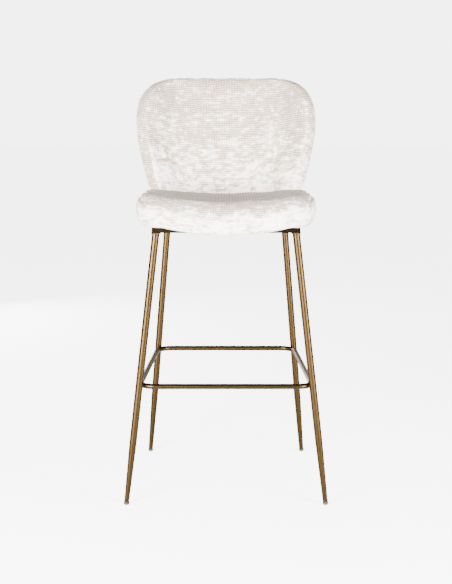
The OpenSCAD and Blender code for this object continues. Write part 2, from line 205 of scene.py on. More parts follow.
def spread(material, value, low, high):
    """Values from low to high become 0 to 1, with a soft start and end."""
    node = add(material, "MapRange", Value=value, From_Min=low, From_Max=high)
    node.interpolation_type = "SMOOTHSTEP"
    return node.outputs[0]


def blend(material, share, first, second):
    """A colour between two, by a share."""
    node = material.node_tree.nodes.new("ShaderNodeMix")
    node.data_type = "RGBA"
    for index, value in ((0, share), (6, first), (7, second)):
        if isinstance(value, bpy.types.NodeSocket):
            material.node_tree.links.new(value, node.inputs[index])
        else:
            node.inputs[index].default_value = value
    return node.outputs[2]


def wear(material, colour, rough=None, height=None, strength=1.0, deep=0.001):
    """Joins a colour to the shader, and a roughness and a height in metres if given."""
    shader = material.node_tree.nodes["Principled BSDF"]
    links = material.node_tree.links
    links.new(colour, shader.inputs["Base Color"])
    if rough is not None:
        links.new(rough, shader.inputs["Roughness"])
    if height is not None:
        bump = add(material, "Bump", Strength=strength, Distance=deep, Height=height)
        links.new(bump.outputs[0], shader.inputs["Normal"])
    return material


# %% [markdown]
# ### Cream chenille
# Chenille is woven from caterpillar yarns: short pile stands off a twisted core. Seen close it
# is rows of soft thick threads along the weft, broken by the warp, and the pile lies one way
# here and another there, which shows as pale and beige patches. The rows are a noise stretched
# along the weft, the warp is a weaker noise stretched the other way, and a slow noise says
# where the beige comes through.

# %% Threads, row by row
def threads(material, across, along, pitch, length):
    """Streaks in rows. A row is floor(across / pitch), and each row reads its own line of one
    noise, stretched to a length along it. The round of a thread is 1 - (2 * place - 1)^2, with
    its place from 0 to 1 within the row."""
    wobble = noise(material, place(material, (45, 45, 1), True), 1.0, 1.0)
    count = maths(material, "MULTIPLY_ADD", wobble, 1.3,
                  maths(material, "DIVIDE", across, pitch))
    row = maths(material, "FLOOR", count)
    within = maths(material, "MULTIPLY_ADD", maths(material, "FRACT", count), 2.0, -1.0)
    thread = maths(material, "SUBTRACT", 1.0, maths(material, "POWER",
                   maths(material, "ABSOLUTE", within), 2.0))
    line = add(material, "CombineXYZ", X=maths(material, "DIVIDE", along, length),
               Y=maths(material, "MULTIPLY", row, 7.31)).outputs[0]
    return noise(material, line, 1.0, 2.0, 0.6), thread


# %% Chenille and its thread
def chenille(name, pale, beige, lean):
    """Weft streaks + warp ticks + slow patches, with more beige where v is high, and a painted
    shade that makes the cloth more beige where it faces up; lean moves it all towards beige."""
    cloth_finish = finish(name, Roughness=0.95, Sheen_Weight=0.12, Sheen_Roughness=0.5,
                          Specular_IOR_Level=0.15)
    weft_share, warp_share = 0.78, 0.22
    painted_top_shade, most_beige = -0.14, 0.62
    flat = add(cloth_finish, "SeparateXYZ", Vector=place(cloth_finish, (1, 1, 1), True))
    u, v = flat.outputs["X"], flat.outputs["Y"]
    weft, weft_round = threads(cloth_finish, v, u, pitch=0.0062, length=0.034)
    warp, warp_round = threads(cloth_finish, u, v, pitch=0.0074, length=0.024)
    patch = noise(cloth_finish, place(cloth_finish, (9, 16, 1), True), 1.0, 2.0, 0.5)
    slow = noise(cloth_finish, place(cloth_finish, (4, 5, 1), True), 1.0, 1.0)
    fuzz = noise(cloth_finish, place(cloth_finish, (900, 1100, 1), True), 1.0, 3.0, 0.7)
    streak = maths(cloth_finish, "MULTIPLY_ADD", weft, weft_share,
                   maths(cloth_finish, "MULTIPLY", warp, warp_share))
    lay = maths(cloth_finish, "MULTIPLY_ADD", patch, 0.16,
                maths(cloth_finish, "MULTIPLY_ADD", slow, 0.10,
                      maths(cloth_finish, "MULTIPLY_ADD", spread(cloth_finish, v, 0.0, 0.28),
                            -0.15, 0.065)))
    # Cloth that faces up is turned more beige: a painted shade for tops that get little light.
    facing = add(cloth_finish, "SeparateXYZ", Vector=add(cloth_finish, "NewGeometry")
                 .outputs["Normal"]).outputs["Z"]
    lay = maths(cloth_finish, "MULTIPLY_ADD", spread(cloth_finish, facing, 0.25, 0.85), painted_top_shade,
                lay)
    crushed = maths(cloth_finish, "ADD", streak, lay)
    shade = maths(cloth_finish, "MULTIPLY",
                  spread(cloth_finish, crushed, 0.72 + lean, 0.50 + lean), most_beige)
    colour = blend(cloth_finish, shade, pale, beige)
    gap = maths(cloth_finish, "MULTIPLY", weft_round, warp_round)
    weft_line = maths(cloth_finish, "MULTIPLY", maths(cloth_finish, "SUBTRACT", 1.0, weft_round),
                      spread(cloth_finish, maths(cloth_finish, "ADD", weft, lay),
                             0.74 + lean, 0.56 + lean))
    warp_line = maths(cloth_finish, "MULTIPLY", maths(cloth_finish, "SUBTRACT", 1.0, warp_round),
                      spread(cloth_finish, maths(cloth_finish, "ADD", warp, lay),
                             0.66 + lean, 0.50 + lean))
    # Dark lines between the threads: the weave's beige lines, drawn dark in the gaps between
    # thread rows as painted shade.
    line_and_gap_shade = maths(cloth_finish, "MAXIMUM", weft_line,
                   maths(cloth_finish, "MULTIPLY", warp_line, 0.8))
    colour = blend(cloth_finish, line_and_gap_shade, colour,
                   (beige[0] * 0.27, beige[1] * 0.21, beige[2] * 0.16, 1))
    height = maths(cloth_finish, "MULTIPLY_ADD", gap, 0.45,
                   maths(cloth_finish, "MULTIPLY_ADD", streak, 0.9,
                         maths(cloth_finish, "MULTIPLY", fuzz, 0.25)))
    return wear(cloth_finish, colour, None, height, 0.75, 0.0022)


cream = chenille("cream_chenille", pale=(0.955, 0.90, 0.825, 1), beige=(0.39, 0.265, 0.16, 1),
                 lean=0.005)
# The gussets are the same chenille made darker and more beige: a painted shade for the seat's
# sides.
gusset_cloth_painted_shade = chenille("cream_chenille_side_painted_shade", pale=(0.80, 0.74, 0.665, 1),
                        beige=(0.37, 0.265, 0.175, 1), lean=0.02)
thread_finish = finish("sewing_thread", Base_Color=(0.70, 0.64, 0.56, 1), Roughness=0.7)
twist = noise(thread_finish, place(thread_finish, (900, 900, 900)), 1.0, 1.0)
wear(thread_finish, blend(thread_finish, twist, (0.62, 0.56, 0.48, 1), (0.80, 0.75, 0.68, 1)),
     None, twist, 0.4, 0.0004)
print("cloth finishes", cream.name, gusset_cloth_painted_shade.name, thread_finish.name)


# %% [markdown]
# ### Antique bronze
# The tubes are steel, plated and brushed, then darkened and rubbed back. Brushing leaves fine
# lines along a tube and the brown stays in patches. At a grazing angle the metal mirrors a
# slightly warmer light, which is the shader's own edge tint. The seat frame's rails take the
# same finish, darkened all over: a painted shade for where they sit, close under the seat.

# %% Bronze
def bronze_along(name, along, across, painted_shade_factor=1.0):
    """Brushed bronze with its lines drawn out along one axis; the last value darkens it all as a
    painted shade.
    """
    rubbed, brown_tone = (0.044, 0.0265, 0.0098), (0.025, 0.0154, 0.0065)
    metal = finish(name, Metallic=1.0, Roughness=0.34, Specular_Tint=(1.0, 0.96, 0.90, 1))
    lines = noise(metal, place(metal, along), 1.0, 2.0, 0.5)
    patina = noise(metal, place(metal, (22, 22, 9)), 1.0, 4.0, 0.6)
    specks = noise(metal, place(metal, across), 1.0, 2.0, 0.6)
    brown = spread(metal, patina, 0.42, 0.70)
    colour = blend(metal, maths(metal, "MULTIPLY", brown, 0.35),
                   (*(painted_shade_factor * part for part in rubbed), 1),
                   (*(painted_shade_factor * part for part in brown_tone), 1))
    colour = blend(metal, maths(metal, "MULTIPLY", spread(metal, specks, 0.60, 0.85), 0.3),
                   colour, (0.014, 0.009, 0.006, 1))
    rough = maths(metal, "MULTIPLY_ADD", lines, 0.05, maths(metal, "MULTIPLY_ADD", brown, 0.06,
                                                            0.30))
    return wear(metal, colour, rough, lines, 0.015, 0.0002)


bronze_upright = bronze_along("antique_bronze_upright", (900, 900, 12), (260, 260, 90))
bronze_level = bronze_along("antique_bronze_level", (60, 60, 900), (220, 220, 220))
# The rails' bronze is darkened all over: a painted shade for where they sit, under the seat.
bronze_frame_painted_shade = bronze_along("antique_bronze_frame_painted_shade", (60, 60, 900), (220, 220, 220), painted_shade_factor=0.30)
print("bronze finishes", bronze_upright.name, bronze_level.name, bronze_frame_painted_shade.name)

# %% [markdown]
# ### The quiet materials
# Plastic caps, zinc-plated screws, plywood and the black cloth under the seat are small, hidden
# or seen only from below, but each still has its own grain. The floor glows for the lens
# alone, so it looks as white as the backdrop but lights the stool only by what it reflects.

# %% Plastic, zinc, plywood, cloth and floor
black_plastic = finish("black_plastic", Base_Color=(0.02, 0.02, 0.021, 1), Roughness=0.5)
pits = noise(black_plastic, place(black_plastic, (1500, 1500, 1500)), 1.0, 2.0)
scuffs = noise(black_plastic, place(black_plastic, (120, 120, 320)), 1.0, 3.0)
wear(black_plastic,
     blend(black_plastic, spread(black_plastic, scuffs, 0.5, 0.8), (0.016, 0.016, 0.017, 1),
           (0.06, 0.058, 0.055, 1)),
     maths(black_plastic, "MULTIPLY_ADD", scuffs, 0.35, 0.32), pits, 0.25, 0.0003)

zinc = finish("zinc_plate", Metallic=1.0, Roughness=0.3)
bloom = noise(zinc, place(zinc, (160, 160, 160)), 1.0, 4.0)
wear(zinc, blend(zinc, bloom, (0.50, 0.52, 0.55, 1), (0.72, 0.72, 0.70, 1)),
     maths(zinc, "MULTIPLY_ADD", bloom, 0.3, 0.2), bloom, 0.1, 0.0002)

plywood = finish("birch_plywood", Roughness=0.62)
grain = noise(plywood, place(plywood, (9, 150, 150)), 1.0, 4.0, 0.6)
plies = add(plywood, "TexWave", Vector=place(plywood, (0, 0, 1)), Scale=110.0).outputs[0]
wear(plywood,
     blend(plywood, maths(plywood, "MULTIPLY", plies, 0.35),
           blend(plywood, grain, (0.66, 0.49, 0.31, 1), (0.82, 0.68, 0.49, 1)),
           (0.48, 0.33, 0.20, 1)),
     None, grain, 0.3, 0.0004)

dust_finish = finish("dust_cloth", Base_Color=(0.02, 0.02, 0.02, 1), Roughness=0.9,
                     Sheen_Weight=0.15)
fibres = noise(dust_finish, place(dust_finish, (700, 700, 700)), 1.0, 4.0, 0.7)
wear(dust_finish, blend(dust_finish, fibres, (0.010, 0.010, 0.011, 1), (0.055, 0.055, 0.055, 1)),
     None, fibres, 0.5, 0.0005)

floor_finish = finish("white_floor", Roughness=0.75, Specular_IOR_Level=0.2)
mottle = noise(floor_finish, place(floor_finish, (3, 3, 3)), 1.0, 2.0)
wear(floor_finish, blend(floor_finish, mottle, (0.93, 0.93, 0.93, 1), (0.95, 0.95, 0.95, 1)))
floor_shader = floor_finish.node_tree.nodes["Principled BSDF"]
floor_shader.inputs["Emission Color"].default_value = (1, 1, 1, 1)
lens_only = add(floor_finish, "LightPath").outputs["Is Camera Ray"]
floor_finish.node_tree.links.new(maths(floor_finish, "MULTIPLY", lens_only, backdrop - 0.6),
                                 floor_shader.inputs["Emission Strength"])
print("quiet finishes", *(quiet.name for quiet in (black_plastic, zinc, plywood, dust_finish,
                                                   floor_finish)))


# %% Give each CAD node its finish
def dress(material, *names):
    """Gives CAD nodes one finish in place of the plain one that they were packed with."""
    for name in names:
        mesh = nodes[name].data
        mesh.materials.clear()
        mesh.materials.append(material)


ends = [f"{end}_{side}" for end in ("front", "rear") for side in ("left", "right")]
dress(bronze_upright, *("leg_" + end for end in ends), "back_strap_left", "back_strap_right")
dress(bronze_level, "footrest_ring", "footrest_welds")
dress(bronze_frame_painted_shade, "rail_front", "rail_rear", "rail_left", "rail_right")
dress(black_plastic, *("foot_" + end for end in ends))
dress(zinc, "seat_screws", "seat_washers", "seat_t_nuts", "back_screws", "back_t_nuts")
dress(plywood, "seat_board", "back_shell")
print(len(nodes), "CAD nodes; the frame, caps, fasteners, board and shell have a new finish")


# %% [markdown]
# ## A cushion's outline and skin
# A cushion has a rounded outline with softer corners at one end than at the other. A ring of
# points runs evenly round it. The panel inside the ring is a square grid whose outer square is
# drawn onto the ring, so it has no pole in its middle, and the band between the two panels is
# a grid that runs round the ring. Together they close without a gap.

# %% Outline and grids
def rounded(half_width, low, high, low_corner, high_corner, count):
    """count points evenly round a rectangle whose corners are quarter superellipses
    |x/w|^n + |y/l|^n = 1, counter-clockwise, so that a quarter of them falls between the
    middles of two corners. A corner is (width, length, n)."""
    fine = 200
    steps = np.linspace(0, math.pi / 2, fine)

    def quarter(width, length, power, turned):
        x, y = np.cos(steps) ** (2 / power), np.sin(steps) ** (2 / power)
        x, y = (half_width - width) + width * x, length * y
        return np.stack([x, y], 1) if not turned else np.stack([x, -y], 1)[::-1]

    bottom = quarter(*low_corner, True) + (0, low + low_corner[1])
    top = quarter(*high_corner, False) + (0, high - high_corner[1])
    right = np.concatenate([bottom, top])
    left = right[::-1] * (-1, 1)
    path = np.concatenate([right, left, right[:1]])
    run = np.concatenate([[0], np.cumsum(np.linalg.norm(np.diff(path, axis=0), axis=1))])
    middles = run[[fine // 2 + fine * corner for corner in range(4)]]
    middles = np.append(middles, middles[0] + run[-1])
    along = np.mod(np.interp(np.arange(count) / count * 4, np.arange(5), middles), run[-1])
    return np.stack([np.interp(along, run, path[:, 0]), np.interp(along, run, path[:, 1])], 1)


def square_grid(side):
    """Places of a (side+1)^2 grid over a panel: r from 0 in the middle to 1 at the rim, and
    k, how many ring points round it lies. Rows are drawn closer together near the rim."""
    crowding = 0.32
    even = np.linspace(-1, 1, side + 1)
    eased = even * (1 + crowding * (1 - even ** 2))
    x, y = np.meshgrid(eased, eased, indexing="xy")
    r = np.maximum(abs(x), abs(y))
    safe = np.maximum(r, 1e-9)
    u, v = np.interp(x / safe, eased, even), np.interp(y / safe, eased, even)
    right = (abs(x) >= abs(y)) & (x > 0)
    top = (abs(y) > abs(x)) & (y > 0)
    leftward = (abs(x) >= abs(y)) & (x < 0)
    k = np.where(right, (v + 1) / 2, np.where(top, 1 + (1 - u) / 2,
                 np.where(leftward, 2 + (1 - v) / 2, 3 + (u + 1) / 2)))
    return r.ravel(), np.mod(k.ravel() * side, 4 * side)


def rim_indices(side):
    """The panel-grid vertices of the outer square, in ring order from its lower right."""
    n = side + 1
    right = np.arange(side) * n + side
    top = side * n + np.arange(side, 0, -1)
    left = np.arange(side, 0, -1) * n
    bottom = np.arange(side)
    return np.concatenate([right, top, left, bottom])


def cushion_faces(side, rows):
    """Quads of a closed skin: one panel, rows of band between the two rims, the other panel.
    The other panel is wound the other way, so that every face points outwards."""
    n = side + 1
    ring = 4 * side
    corner = (np.arange(side)[:, None] * n + np.arange(side)).ravel()
    panel = np.stack([corner, corner + 1, corner + n + 1, corner + n], 1)
    far = n * n + rows * ring
    rim = rim_indices(side)
    loops = [rim] + [n * n + row * ring + np.arange(ring) for row in range(rows)] + [far + rim]
    band = [np.stack([a, np.roll(a, -1), np.roll(b, -1), b], 1)[:, ::-1]
            for a, b in zip(loops[:-1], loops[1:])]
    return np.concatenate([panel, *band, far + panel[:, ::-1]]), len(panel), len(band) * ring


def mesh_object(name, points, faces, material):
    """A mesh object at the origin from whole arrays, with one material."""
    mesh = bpy.data.meshes.new(name)
    mesh.from_pydata(points.tolist(), [], faces.tolist())
    mesh.polygons.foreach_set("use_smooth", np.ones(len(mesh.polygons), bool))
    piece = bpy.data.objects.new(name, mesh)
    bpy.context.scene.collection.objects.link(piece)
    mesh.materials.append(material)
    return piece


def smooth_step(value):
    """0 below 0, 1 above 1, and a smooth S between."""
    value = np.clip(value, 0, 1)
    return value * value * (3 - 2 * value)


# %% [markdown]
# ## Cloth with air inside
# Real covers are cut a little too small for their foam and sewn at the edges, so the cloth
# bulges between its seams. Blender's cloth does the same with a pressure inside and the seams
# pinned. The travel is eased off towards a limit, so a cushion keeps its size.

# %% Swell a skin, then draw in its seams
def coordinates(mesh):
    """All vertex places as one array."""
    values = np.empty(len(mesh.vertices) * 3)
    mesh.vertices.foreach_get("co", values)
    return values.reshape(-1, 3)


def normals(mesh):
    """All vertex normals as one array."""
    values = np.empty(len(mesh.vertices) * 3)
    mesh.vertices.foreach_get("normal", values)
    return values.reshape(-1, 3)


def put(mesh, points):
    """Writes all vertex places at once."""
    mesh.vertices.foreach_set("co", points.ravel())
    mesh.update()


def swell(piece, pinned, slack, pressure, limit, frames=20):
    """Runs the skin as cloth with a pressure inside. pinned (0 to 1) holds a vertex, slack
    lets the cloth grow by a share, and a travel d is kept as limit * d / (limit + d)."""
    start = coordinates(piece.data)
    group = piece.vertex_groups.new(name="pinned")
    for level in np.unique(np.round(pinned, 1)):
        chosen = np.flatnonzero(np.round(pinned, 1) == level).tolist()
        group.add(chosen, float(level), "REPLACE")
    modifier = piece.modifiers.new("cloth", "CLOTH")
    settings = modifier.settings
    settings.quality = 6
    settings.mass = 0.35
    settings.tension_stiffness = settings.compression_stiffness = 18
    settings.shear_stiffness = 8
    settings.bending_stiffness = 0.6
    settings.use_pressure = True
    settings.uniform_pressure_force = pressure
    settings.shrink_min = -slack
    settings.vertex_group_mass = "pinned"
    settings.effector_weights.gravity = 0
    modifier.collision_settings.use_collision = False
    scene = bpy.context.scene
    for step in range(1, frames + 1):
        scene.frame_set(step)
    shape = piece.evaluated_get(bpy.context.evaluated_depsgraph_get())
    moved = coordinates(shape.data) - start
    piece.modifiers.remove(modifier)
    piece.vertex_groups.remove(group)
    scene.frame_set(1)
    length = np.linalg.norm(moved, axis=1, keepdims=True)
    put(piece.data, start + moved * limit / (limit + length))
    print(piece.name, "swelled by up to", round(float(length.max()) * 1000, 1), "mm")


def refine(piece):
    """One level of subdivision, applied, with the map and attributes carried along."""
    modifier = piece.modifiers.new("finer", "SUBSURF")
    modifier.levels = modifier.render_levels = 1
    graph = bpy.context.evaluated_depsgraph_get()
    finer = bpy.data.meshes.new_from_object(piece.evaluated_get(graph),
                                            preserve_all_data_layers=True, depsgraph=graph)
    piece.modifiers.remove(modifier)
    piece.data = finer


def nearest(points, path):
    """For each point, how far the path is and how far along it that place lies."""
    run = np.concatenate([[0], np.cumsum(np.linalg.norm(np.diff(path, axis=0), axis=1))])
    far = np.empty(len(points))
    along = np.empty(len(points))
    for first in range(0, len(points), 4000):
        some = points[first:first + 4000]
        square = ((some[:, None, :] - path[None, :, :]) ** 2).sum(2)
        chosen = square.argmin(1)
        far[first:first + 4000] = np.sqrt(square.min(1))
        along[first:first + 4000] = run[chosen]
    return far, along


def draw_in(piece, path, depth=0.0022, width=0.0032, pucker=0.0007, pitch=0.011):
    """Presses a seam into a skin along its normals. The groove is depth * exp(-(d/width)^2),
    and beside it small folds cross the seam: pucker * sin(along / pitch) * exp(-d / 4 width)."""
    mesh = piece.data
    points = coordinates(mesh)
    far, along = nearest(points, path)
    groove = depth * np.exp(-(far / width) ** 2)
    wander = np.sin(along * 37.0) * 1.1 + np.sin(along * 91.0 + 1.7) * 0.7
    folds = pucker * np.sin(along * 2 * math.pi / pitch + wander) * np.exp(-far / (4 * width))
    folds *= 0.55 + 0.45 * np.sin(along * 23.0 + 0.6)
    put(mesh, points - normals(mesh) * (groove + folds)[:, None])


def unevenness(piece, size, seed):
    """Slow hollows and swells of hand-filled foam: a few sine waves of random direction."""
    rng = np.random.RandomState(seed)
    mesh = piece.data
    points = coordinates(mesh)
    total = np.zeros(len(points))
    for _ in range(9):
        way = rng.normal(size=3)
        way *= 2 * math.pi / rng.uniform(0.07, 0.20) / np.linalg.norm(way)
        total += np.sin(points @ way + rng.uniform(0, 2 * math.pi))
    put(mesh, points + normals(mesh) * (size * total / 3)[:, None])


def lay_map(piece, cloth_map):
    """Writes the cloth's own map, in metres, one place for each corner of each face."""
    layer = piece.data.uv_layers.new(name="weave")
    layer.data.foreach_set("uv", cloth_map.ravel())


# %% [markdown]
# ## The back cushion
# The back is a moulded plywood shell bent round the sitter, with thick foam in front, a thin
# lining behind and a band of cloth between. It is drawn flat first, as its cloth is cut: along
# the curve and up the lean. Then the flat plan is wrapped: straight in the middle, an arc, and
# a straight wing. A height stands square to that curve, and the whole leans back.

# %% The back's shape, flat and wrapped
back_half_width = 0.274
back_length = 0.3795
wing_angle = math.radians(42)
bend_start = 0.070
bend_radius = 0.198
wing_start = bend_start + bend_radius * wing_angle
widest = back_length - 0.150
back_middle = np.array((0.0, 0.190))
front_seam_height, rear_seam_height = 0.0296, -0.0155
front_height, rear_height = 0.0365, -0.0178


def back_outline(count):
    """The back's flat outline: softer, rounder corners at the top."""
    return rounded(back_half_width, 0.0, back_length, (0.120, 0.085, 2.2), (0.184, 0.150, 2.6),
                   count)


def back_point(plan, height):
    """A flat place and a height become a place on the stool. The wing turns by the angle that
    the arc has reached, a point moves in by height * sin(turn) and forward by
    height * cos(turn), and below its widest place the back narrows."""
    side, along, up = np.sign(plan[:, 0]), abs(plan[:, 0]), plan[:, 1]
    turn = np.clip((along - bend_start) / bend_radius, 0, wing_angle)
    past = np.maximum(0, along - wing_start)
    x = np.minimum(along, bend_start) + bend_radius * np.sin(turn) + past * np.cos(turn)
    x = x - height * np.sin(turn)
    forward = bend_radius * (1 - np.cos(turn)) + past * np.sin(turn) + height * np.cos(turn)
    below = np.maximum(0, widest - up)
    narrow = 1 - 1.02 * (np.sqrt(below ** 2 + 0.04 ** 2) - 0.04)
    return np.stack([side * x * narrow,
                     back_low_y + up * math.sin(recline) - forward * math.cos(recline),
                     back_low_z + up * math.cos(recline) + forward * math.sin(recline)], 1)


def panel_plan(ring, middle, side, inset):
    """Flat places of a panel's grid: middle + r * (ring - middle), with the ring drawn in by
    an inset first. Also gives each place's distance from the rim."""
    r, k = square_grid(side)
    reach = np.linalg.norm(ring - middle, axis=1)
    drawn = middle + (ring - middle) * (1 - inset / reach)[:, None]
    wrapped_ring = np.concatenate([drawn, drawn[:1]])
    index = np.arange(len(wrapped_ring))
    rim = np.stack([np.interp(k, index, wrapped_ring[:, axis]) for axis in (0, 1)], 1)
    plan = middle + (rim - middle) * r[:, None]
    return plan, (1 - r) * np.linalg.norm(rim - middle, axis=1)


def band_map(ring, across, side, rows, weft_across=True):
    """The cloth map of the band: how far across it and how far round it, in metres."""
    run = np.concatenate([[0], np.cumsum(np.linalg.norm(
        np.diff(np.concatenate([ring, ring[:1]]), axis=0), axis=1))])
    u = np.repeat(across, 2)[1:-1].reshape(rows + 1, 1, 2)
    v = np.stack([run[:-1], run[1:]], 1)[None]
    u = np.broadcast_to(u, (rows + 1, 4 * side, 2))
    v = np.broadcast_to(v, (rows + 1, 4 * side, 2))
    corners = [(u[..., 1], v[..., 0]), (u[..., 1], v[..., 1]),
               (u[..., 0], v[..., 1]), (u[..., 0], v[..., 0])]
    order = (0, 1) if weft_across else (1, 0)
    table = np.stack([np.stack([c[order[0]], c[order[1]]], -1) for c in corners], 2)
    return table.reshape(-1, 4, 2)


# %% Build, swell and sew the back
back_side, back_rows = 72, 9
front_seam_inset, rear_seam_inset = 0.005, 0.004
front_roll, rear_roll = 0.013, 0.012
band_width, band_hollow = 0.052, 0.0045
ring = back_outline(4 * back_side)
front_plan, front_in = panel_plan(ring, back_middle, back_side, front_seam_inset)
rear_plan, rear_in = panel_plan(ring, back_middle, back_side, rear_seam_inset)
front_rise = front_seam_height + (front_height - front_seam_height) * (
    1 - np.exp(-front_in / front_roll))
rear_rise = rear_seam_height + (rear_height - rear_seam_height) * (
    1 - np.exp(-rear_in / rear_roll))
across = np.arange(1, back_rows + 1) / (back_rows + 1)
reach = np.linalg.norm(ring - back_middle, axis=1)
band = []
for share in across:
    inset = band_hollow * abs(2 * share - 1) ** 2.5
    drawn = back_middle + (ring - back_middle) * (1 - inset / reach)[:, None]
    height = front_seam_height + (rear_seam_height - front_seam_height) * share
    band.append(back_point(drawn, np.full(len(drawn), height)))
back_points = np.concatenate([back_point(front_plan, front_rise), *band,
                              back_point(rear_plan, rear_rise)])
back_faces, panel_count, band_count = cushion_faces(back_side, back_rows)
back = mesh_object("back_cushion", back_points, back_faces, cream)
ring_run = np.concatenate([[0], across, [1]]) * band_width
# The band and the rear panel are cut from other places on the roll than the front panel.
band_cut, rear_cut = (3.0, 0.0), (7.0, 0.0)
lay_map(back, np.concatenate([
    front_plan[back_faces[:panel_count]],
    band_map(ring, ring_run, back_side, back_rows) + band_cut,
    rear_plan[back_faces[panel_count + band_count:] - (len(back_points) - len(rear_plan))]
    + rear_cut]))

seam_grip = 0.006
held = np.concatenate([np.clip(1 - front_in / seam_grip, 0, 1), np.zeros(back_rows * len(ring)),
                       np.clip(1 - rear_in / seam_grip, 0.6, 1)])
swell(back, held, slack=0.035, pressure=2.4, limit=0.009)
refine(back)
unevenness(back, size=0.0007, seed=3)


def back_seam(inset, height, count=720):
    """A closed seam line round the back, at an inset and a height of the flat plan."""
    line = back_outline(count)
    far = np.linalg.norm(line - back_middle, axis=1)
    line = back_middle + (line - back_middle) * (1 - inset / far)[:, None]
    points = back_point(line, np.full(count, height))
    return np.concatenate([points, points[:1]])


back_seams = {"back_front_seam": back_seam(front_seam_inset, front_seam_height),
              "back_rear_seam": back_seam(rear_seam_inset, rear_seam_height)}
for line in back_seams.values():
    draw_in(back, line, pucker=0.0004)
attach(back, "root")
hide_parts("back_front_panel", "back_band", "back_rear_panel", "back_foam", "back_lining")
print("back cushion", len(back.data.vertices), "points")

# %% [markdown]
# ## The seat cushion
# The seat is a saddle: its sides are higher than its middle, and its front rolls over and
# hangs in front of the frame. Its profile is two quarter ellipses that meet at the waist, the
# widest line. A gusset is sewn into each side, from the front corner to the rear one.

# %% The seat's shape
board_low, board_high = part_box("seat_board")
seat_side_count, seat_rows = 72, 17
seat_half_width = 0.2255
seat_front = board_low.y - 0.022
seat_back = board_high.y + 0.036
seat_top = board_high.z + 0.042
seat_under = rail_high + 0.0012
saddle = 0.027
front_droop, droop_half_width = 0.020, 0.170
nose_start, nose_length = 0.106, 0.070
lean_start, lean_length = 0.114, 0.060
dish_depth, dish_reach = 0.005, 0.08
seat_middle = np.array((0.0, (seat_front + seat_back) / 2))
seat_ring = rounded(seat_half_width, seat_front, seat_back, (0.080, 0.080, 2.2),
                    (0.186, 0.148, 1.55), 4 * seat_side_count)


def nose(plan):
    """How much of the front roll a place has: 0 behind, 1 along the front edge."""
    return np.clip((seat_front + nose_start - plan[:, 1]) / nose_length, 0, 1)


def seat_rim(ring, angle):
    """A ring of the side at an angle from the waist, 90 degrees at the top and -90 below. It
    is drawn in by edge * (1 - cos(angle)) and stands at waist + sin(angle) * height."""
    front = nose(ring)
    up = math.sin(angle)
    top_edge, under_edge = 0.027 + 0.023 * front, 0.034 - 0.014 * front
    inset = (top_edge if up > 0 else under_edge) * (1 - math.cos(angle))
    reach = np.linalg.norm(ring - seat_middle, axis=1)
    plan = seat_middle + (ring - seat_middle) * (1 - inset / reach)[:, None]
    low = seat_under - front_droop * front * np.clip(
        1 - (ring[:, 0] / droop_half_width) ** 2, 0, 1)
    high = seat_top + saddle * np.clip(plan[:, 0] / seat_half_width, -1, 1) ** 2
    waist = low + (high - low) * (0.68 - 0.28 * front)
    z = waist + up * np.where(up < 0, waist - low, high - waist)
    return leaned(plan, z)


def leaned(plan, z):
    """Towards the rear the seat leans back with the backrest that it meets."""
    share = np.clip((plan[:, 1] - seat_back + lean_start) / lean_length, 0, 1)
    lean = math.tan(recline) * np.maximum(0, z - board_high.z) * share
    return np.stack([plan[:, 0], plan[:, 1] + lean, z], 1)


# %% Build, swell and sew the seat
angles = [math.radians(90 - 180 * row / (seat_rows - 1)) for row in range(seat_rows)]
rims = [seat_rim(seat_ring, angle) for angle in angles]
top_plan, top_in = panel_plan(rims[0][:, :2], seat_middle, seat_side_count, 0.0)
top_z = seat_top + saddle * np.clip(top_plan[:, 0] / seat_half_width, -1, 1) ** 2
top_z = top_z - dish_depth * smooth_step(top_in / dish_reach)
top = np.column_stack([top_plan, top_z])
lip_share = 0.985
lip = rims[-1].copy()
lip[:, :2] = seat_middle + (lip[:, :2] - seat_middle) * lip_share
lip[:, 2] = seat_under
under_plan = panel_plan(lip[:, :2], seat_middle, seat_side_count, 0.001)[0]
under = np.column_stack([under_plan, np.full(len(under_plan), seat_under)])
top[rim_indices(seat_side_count)] = rims[0]
seat_loops = rims[1:] + [lip]
seat_points = np.concatenate([top, *seat_loops, under])
seat_faces, panel_count, band_count = cushion_faces(seat_side_count, len(seat_loops))
seat = mesh_object("seat_cushion", seat_points, seat_faces, cream)
seat.data.materials.append(gusset_cloth_painted_shade)

rearward = seat_ring[:, 1] > seat_middle[1]
front_middle = int(np.argmin(np.where(rearward, np.inf, abs(seat_ring[:, 0]))))
fall = np.stack([loop[front_middle] for loop in [rims[0], *seat_loops, lip]])
down = np.concatenate([[0], np.cumsum(np.linalg.norm(np.diff(fall, axis=0), axis=1))])
map_lift = 0.26
under_cut = (5.0, 0.0)
side_map = band_map(seat_ring, -down, seat_side_count, len(seat_loops), False)
run = np.concatenate([[0], np.cumsum(np.linalg.norm(np.diff(seat_ring, axis=0), axis=1))])
side_map = side_map + (-run[front_middle], seat_front + 0.05 + map_lift)
lay_map(seat, np.concatenate([
    top_plan[seat_faces[:panel_count]] + (0.0, map_lift), side_map,
    under_plan[seat_faces[panel_count + band_count:] - (len(seat_points) - len(under_plan))]
    + under_cut]))

# The cover is held where it is stapled: over the lowest loops of its side, and underneath.
held_loops = 4
free = len(top) + (len(seat_loops) - held_loops) * len(seat_ring)
held = np.concatenate([np.zeros(free), np.ones(len(seat_points) - free)])
swell(seat, held, slack=0.02, pressure=2.6, limit=0.010)

# %% [markdown]
# ### The gussets
# A cover that ran over the seat's sides in one piece would fold at the corners, so each side
# is a separate gusset. Its seam climbs the front corner, runs back under the top edge and goes
# down again behind. It follows the grid's own rows and columns, then is smoothed.

